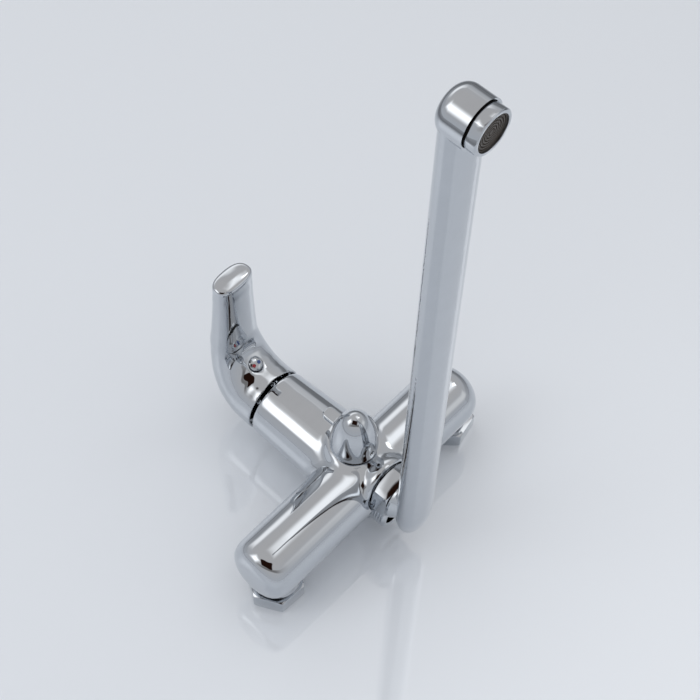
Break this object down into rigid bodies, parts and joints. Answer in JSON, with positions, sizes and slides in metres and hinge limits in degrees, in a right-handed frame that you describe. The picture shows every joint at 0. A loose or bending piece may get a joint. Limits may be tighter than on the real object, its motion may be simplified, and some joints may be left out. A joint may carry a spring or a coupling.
{
  "type": "bath and shower mixer tap",
  "caption": "Wall mounted bath and shower mixer: bar body on union nuts, side lever, diverter knob, long oval swivel spout with aerator, threaded shower outlet",
  "frame": {"origin": "midway between the two wall inlets, on the plane of the union nuts' faces", "axes": "+X runs along the bar, +Y towards the lever, +Z away from the wall"},
  "size_m": [0.1866, 0.1701, 0.4111],
  "materials": {
    "chromed_brass": "polished chrome plate on brass",
    "chromed_zinc": "polished chrome plate on die cast zinc",
    "chromed_plastic": "chrome plated plastic",
    "bare_brass": "machined",
    "stainless_steel": "plain",
    "black_rubber": "matt",
    "white_acetal": "moulded",
    "grey_acetal": "moulded",
    "alumina": "lapped ceramic",
    "red_enamel": "filled colour dot",
    "blue_enamel": "filled colour dot"
  },
  "bodies": {
    "mixer": {"mixer_body": "chromed_brass", "inlet_spigot_left": "chromed_brass", "inlet_spigot_right": "chromed_brass", "inlet_washer_left": "black_rubber", "inlet_washer_right": "black_rubber", "filter_screen_left": "stainless_steel", "filter_screen_right": "stainless_steel", "cartridge_body": "white_acetal", "cartridge_base": "white_acetal", "cartridge_seals": "black_rubber", "ceramic_disc_fixed": "alumina", "cartridge_nut": "grey_acetal", "spout_nipple": "chromed_brass", "spout_nut": "chromed_brass", "diverter_disc_fixed": "alumina", "diverter_bonnet": "bare_brass", "diverter_o_ring": "black_rubber", "shower_nipple": "chromed_brass"},
    "union_left": {"union_nut_left": "chromed_brass"},
    "union_right": {"union_nut_right": "chromed_brass"},
    "rotor": {"cartridge_rotor": "white_acetal", "cartridge_pin": "stainless_steel"},
    "lever": {"cartridge_stem": "bare_brass", "handle": "chromed_zinc", "handle_screw": "stainless_steel", "index_plug": "chromed_plastic", "index_mark_hot": "red_enamel", "index_mark_cold": "blue_enamel"},
    "disc": {"disc_carrier": "white_acetal", "ceramic_disc_moving": "alumina"},
    "spout": {"spout_tube": "chromed_brass", "spout_o_rings": "black_rubber", "spout_snap_ring": "white_acetal", "aerator_housing": "chromed_brass", "aerator_insert": "grey_acetal", "aerator_screen": "grey_acetal", "aerator_washer": "black_rubber"},
    "diverter": {"diverter_knob": "chromed_zinc", "diverter_set_screw": "stainless_steel", "diverter_stem": "bare_brass", "diverter_disc_moving": "alumina"}
  },
  "joints": [
    {"name": "union_left_turn", "type": "hinge", "parent": "mixer", "child": "union_left", "pos_m": [-0.075, 0, 0], "axis": [0, 0, 1], "continuous": true},
    {"name": "union_right_turn", "type": "hinge", "parent": "mixer", "child": "union_right", "pos_m": [0.075, 0, 0], "axis": [0, 0, 1], "continuous": true},
    {"name": "lever_turn", "type": "hinge", "parent": "mixer", "child": "rotor", "pos_m": [0, 0, 0.0359], "axis": [0, 1, 0], "range_deg": [-45, 45]},
    {"name": "lever_lift", "type": "hinge", "parent": "rotor", "child": "lever", "pos_m": [0, 0.057, 0.0359], "axis": [-1, 0, 0], "range_deg": [0, 20]},
    {"name": "disc_slide", "type": "slide", "parent": "rotor", "child": "disc", "axis": [0, 0, 1], "range_m": [0, 0.0036]},
    {"name": "spout_swivel", "type": "hinge", "parent": "mixer", "child": "spout", "pos_m": [0, 0, 0.0479], "axis": [0, 1, 0], "range_deg": [-90, 90]},
    {"name": "diverter_turn", "type": "hinge", "parent": "mixer", "child": "diverter", "pos_m": [0, 0.0095, 0], "axis": [0, 0, 1], "range_deg": [0, 90]}
  ],
  "couplings": [
    {"joint": "disc_slide", "follows": "lever_lift", "m_per_rad": 0.01}
  ]
}
